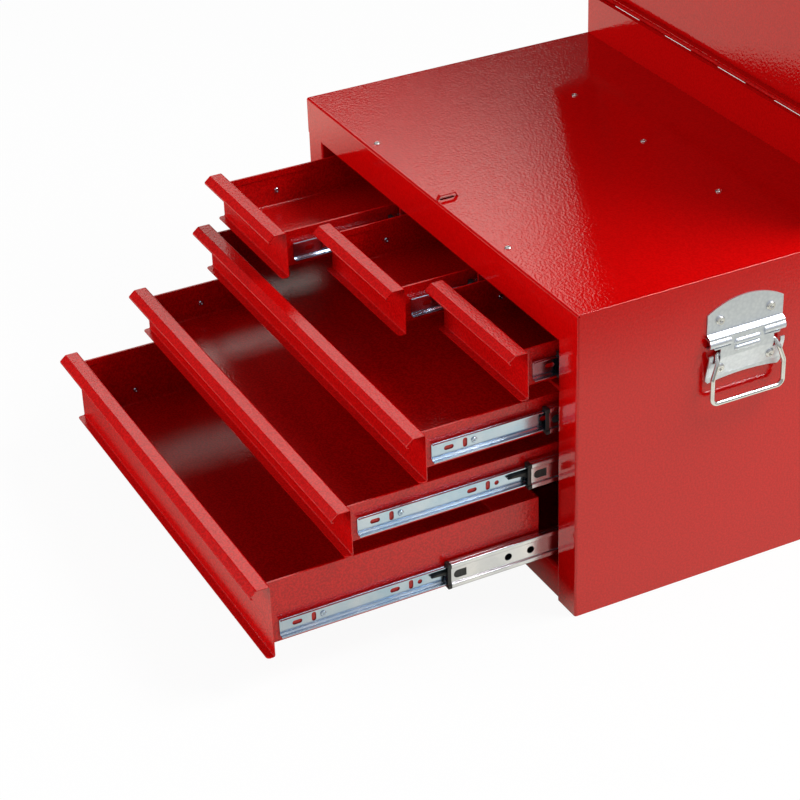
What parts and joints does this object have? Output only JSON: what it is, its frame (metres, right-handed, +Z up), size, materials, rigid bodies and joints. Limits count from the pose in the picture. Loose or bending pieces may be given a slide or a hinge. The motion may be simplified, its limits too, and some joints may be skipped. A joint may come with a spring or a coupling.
{
  "type": "tool chest",
  "caption": "Steel tool chest with small and wide drawers on ball-bearing slides, a flat deck, a shallow hinged lid with a lock and a drop handle on each side.",
  "frame": {"origin": "middle of the case's footprint at the underside of the bottom panel", "axes": "+X to the right as seen from the front, +Y towards the back, +Z up; the drawers open towards -Y"},
  "size_m": [0.6266, 0.7937, 0.7883],
  "materials": {
    "black_plastic": "moulded",
    "case_paint": "gloss powder coat",
    "drawer_paint": "gloss powder coat",
    "handle_zinc": "bright zinc plate",
    "hinge_steel": "gloss powder coat",
    "inner_steel": "gloss powder coat in the shade",
    "lid_paint": "gloss powder coat",
    "lock_chrome": "polished",
    "rivet_steel": "bare rivet heads",
    "slide_zinc": "bright zinc plate",
    "wire_chrome": "bright plated wire"
  },
  "bodies": {
    "case": {"right_side_panel": "case_paint", "left_side_panel": "case_paint", "deck_panel": "case_paint", "bottom_panel": "case_paint", "back_panel": "case_paint", "right_slide_uprights": "inner_steel", "left_slide_uprights": "inner_steel", "small_drawer_shelf": "inner_steel", "drawer_dividers": "inner_steel", "deck_rivets": "rivet_steel", "case_hinge_leaf": "hinge_steel", "hinge_pin": "rivet_steel", "right_handle_plate": "handle_zinc", "left_handle_plate": "handle_zinc", "handle_rivets": "rivet_steel", "right_cabinet_members": "slide_zinc", "left_cabinet_members": "slide_zinc"},
    "lid": {"lid_shell": "lid_paint", "lid_hinge_leaf": "hinge_steel", "lock_body": "lock_chrome"},
    "lock_plug": {"lock_plug": "lock_chrome"},
    "right_bail": {"right_handle_bail": "wire_chrome"},
    "left_bail": {"left_handle_bail": "wire_chrome"},
    "bottom_drawer_middle_members": {"bottom_drawer_slide_middle": "slide_zinc"},
    "bottom_drawer": {"bottom_drawer_tray": "drawer_paint", "bottom_drawer_front": "drawer_paint", "bottom_drawer_slide_inner": "slide_zinc"},
    "bottom_drawer_left_lever": {"bottom_drawer_left_lever": "black_plastic"},
    "bottom_drawer_right_lever": {"bottom_drawer_right_lever": "black_plastic"},
    "middle_drawer_middle_members": {"middle_drawer_slide_middle": "slide_zinc"},
    "middle_drawer": {"middle_drawer_tray": "drawer_paint", "middle_drawer_front": "drawer_paint", "middle_drawer_slide_inner": "slide_zinc"},
    "middle_drawer_left_lever": {"middle_drawer_left_lever": "black_plastic"},
    "middle_drawer_right_lever": {"middle_drawer_right_lever": "black_plastic"},
    "upper_drawer_middle_members": {"upper_drawer_slide_middle": "slide_zinc"},
    "upper_drawer": {"upper_drawer_tray": "drawer_paint", "upper_drawer_front": "drawer_paint", "upper_drawer_slide_inner": "slide_zinc"},
    "upper_drawer_left_lever": {"upper_drawer_left_lever": "black_plastic"},
    "upper_drawer_right_lever": {"upper_drawer_right_lever": "black_plastic"},
    "left_small_drawer_middle_members": {"left_small_drawer_slide_middle": "slide_zinc"},
    "left_small_drawer": {"left_small_drawer_tray": "drawer_paint", "left_small_drawer_front": "drawer_paint", "left_small_drawer_slide_inner": "slide_zinc"},
    "left_small_drawer_left_lever": {"left_small_drawer_left_lever": "black_plastic"},
    "left_small_drawer_right_lever": {"left_small_drawer_right_lever": "black_plastic"},
    "centre_small_drawer_middle_members": {"centre_small_drawer_slide_middle": "slide_zinc"},
    "centre_small_drawer": {"centre_small_drawer_tray": "drawer_paint", "centre_small_drawer_front": "drawer_paint", "centre_small_drawer_slide_inner": "slide_zinc"},
    "centre_small_drawer_left_lever": {"centre_small_drawer_left_lever": "black_plastic"},
    "centre_small_drawer_right_lever": {"centre_small_drawer_right_lever": "black_plastic"},
    "right_small_drawer_middle_members": {"right_small_drawer_slide_middle": "slide_zinc"},
    "right_small_drawer": {"right_small_drawer_tray": "drawer_paint", "right_small_drawer_front": "drawer_paint", "right_small_drawer_slide_inner": "slide_zinc"},
    "right_small_drawer_left_lever": {"right_small_drawer_left_lever": "black_plastic"},
    "right_small_drawer_right_lever": {"right_small_drawer_right_lever": "black_plastic"}
  },
  "joints": [
    {"name": "lid_hinge", "type": "hinge", "parent": "case", "child": "lid", "pos_m": [0, 0.1904, 0.4063], "axis": [1, 0, 0], "range_deg": [0, 100]},
    {"name": "bottom_drawer_outer_slide", "type": "slide", "parent": "case", "child": "bottom_drawer_middle_members", "axis": [0, -1, 0], "range_m": [-0.1315, 0.0025]},
    {"name": "bottom_drawer_inner_slide", "type": "slide", "parent": "bottom_drawer_middle_members", "child": "bottom_drawer", "axis": [0, -1, 0], "range_m": [-0.1865, 0.0055]},
    {"name": "bottom_drawer_left_lever_pivot", "type": "hinge", "parent": "bottom_drawer", "child": "bottom_drawer_left_lever", "pos_m": [-0.252, -0.3022, 0.067], "axis": [1, 0, 0], "range_deg": [-8, 8], "stiffness_Nm_per_rad": 0.02},
    {"name": "bottom_drawer_right_lever_pivot", "type": "hinge", "parent": "bottom_drawer", "child": "bottom_drawer_right_lever", "pos_m": [0.252, -0.3022, 0.067], "axis": [1, 0, 0], "range_deg": [-8, 8], "stiffness_Nm_per_rad": 0.02},
    {"name": "middle_drawer_outer_slide", "type": "slide", "parent": "case", "child": "middle_drawer_middle_members", "axis": [0, -1, 0], "range_m": [-0.0385, 0.0955]},
    {"name": "middle_drawer_inner_slide", "type": "slide", "parent": "middle_drawer_middle_members", "child": "middle_drawer", "axis": [0, -1, 0], "range_m": [-0.1905, 0.0015]},
    {"name": "middle_drawer_left_lever_pivot", "type": "hinge", "parent": "middle_drawer", "child": "middle_drawer_left_lever", "pos_m": [-0.252, -0.2132, 0.156], "axis": [1, 0, 0], "range_deg": [-8, 8], "stiffness_Nm_per_rad": 0.02},
    {"name": "middle_drawer_right_lever_pivot", "type": "hinge", "parent": "middle_drawer", "child": "middle_drawer_right_lever", "pos_m": [0.252, -0.2132, 0.156], "axis": [1, 0, 0], "range_deg": [-8, 8], "stiffness_Nm_per_rad": 0.02},
    {"name": "upper_drawer_outer_slide", "type": "slide", "parent": "case", "child": "upper_drawer_middle_members", "axis": [0, -1, 0], "range_m": [-0.018, 0.116]},
    {"name": "upper_drawer_inner_slide", "type": "slide", "parent": "upper_drawer_middle_members", "child": "upper_drawer", "axis": [0, -1, 0], "range_m": [-0.128, 0.064]},
    {"name": "upper_drawer_left_lever_pivot", "type": "hinge", "parent": "upper_drawer", "child": "upper_drawer_left_lever", "pos_m": [-0.252, -0.1302, 0.2145], "axis": [1, 0, 0], "range_deg": [-8, 8], "stiffness_Nm_per_rad": 0.02},
    {"name": "upper_drawer_right_lever_pivot", "type": "hinge", "parent": "upper_drawer", "child": "upper_drawer_right_lever", "pos_m": [0.252, -0.1302, 0.2145], "axis": [1, 0, 0], "range_deg": [-8, 8], "stiffness_Nm_per_rad": 0.02},
    {"name": "left_small_drawer_outer_slide", "type": "slide", "parent": "case", "child": "left_small_drawer_middle_members", "axis": [0, -1, 0], "range_m": [-0.008, 0.126]},
    {"name": "left_small_drawer_inner_slide", "type": "slide", "parent": "left_small_drawer_middle_members", "child": "left_small_drawer", "axis": [0, -1, 0], "range_m": [-0.1185, 0.0735]},
    {"name": "left_small_drawer_left_lever_pivot", "type": "hinge", "parent": "left_small_drawer", "child": "left_small_drawer_left_lever", "pos_m": [-0.252, -0.1107, 0.273], "axis": [1, 0, 0], "range_deg": [-8, 8], "stiffness_Nm_per_rad": 0.02},
    {"name": "left_small_drawer_right_lever_pivot", "type": "hinge", "parent": "left_small_drawer", "child": "left_small_drawer_right_lever", "pos_m": [-0.09833, -0.1107, 0.273], "axis": [1, 0, 0], "range_deg": [-8, 8], "stiffness_Nm_per_rad": 0.02},
    {"name": "centre_small_drawer_outer_slide", "type": "slide", "parent": "case", "child": "centre_small_drawer_middle_members", "axis": [0, -1, 0], "range_m": [-0.005, 0.129]},
    {"name": "centre_small_drawer_inner_slide", "type": "slide", "parent": "centre_small_drawer_middle_members", "child": "centre_small_drawer", "axis": [0, -1, 0], "range_m": [-0.0705, 0.1215]},
    {"name": "centre_small_drawer_left_lever_pivot", "type": "hinge", "parent": "centre_small_drawer", "child": "centre_small_drawer_left_lever", "pos_m": [-0.07733, -0.0597, 0.273], "axis": [1, 0, 0], "range_deg": [-8, 8], "stiffness_Nm_per_rad": 0.02},
    {"name": "centre_small_drawer_right_lever_pivot", "type": "hinge", "parent": "centre_small_drawer", "child": "centre_small_drawer_right_lever", "pos_m": [0.07733, -0.0597, 0.273], "axis": [1, 0, 0], "range_deg": [-8, 8], "stiffness_Nm_per_rad": 0.02},
    {"name": "right_small_drawer_outer_slide", "type": "slide", "parent": "case", "child": "right_small_drawer_middle_members", "axis": [0, -1, 0], "range_m": [-0.002, 0.132]},
    {"name": "right_small_drawer_inner_slide", "type": "slide", "parent": "right_small_drawer_middle_members", "child": "right_small_drawer", "axis": [0, -1, 0], "range_m": [-0.0305, 0.1615]},
    {"name": "right_small_drawer_left_lever_pivot", "type": "hinge", "parent": "right_small_drawer", "child": "right_small_drawer_left_lever", "pos_m": [0.09833, -0.0167, 0.273], "axis": [1, 0, 0], "range_deg": [-8, 8], "stiffness_Nm_per_rad": 0.02},
    {"name": "right_small_drawer_right_lever_pivot", "type": "hinge", "parent": "right_small_drawer", "child": "right_small_drawer_right_lever", "pos_m": [0.252, -0.0167, 0.273], "axis": [1, 0, 0], "range_deg": [-8, 8], "stiffness_Nm_per_rad": 0.02},
    {"name": "right_bail_swing", "type": "hinge", "parent": "case", "child": "right_bail", "pos_m": [0.3028, 0.005, 0.2655], "axis": [0, 1, 0], "range_deg": [-90, 0]},
    {"name": "left_bail_swing", "type": "hinge", "parent": "case", "child": "left_bail", "pos_m": [-0.3028, 0.005, 0.2655], "axis": [0, 1, 0], "range_deg": [0, 90]},
    {"name": "lock_turn", "type": "hinge", "parent": "lid", "child": "lock_plug", "pos_m": [0, 0.22824, 0.78387], "axis": [0, -0.1736, -0.9848], "range_deg": [0, 90]}
  ]
}
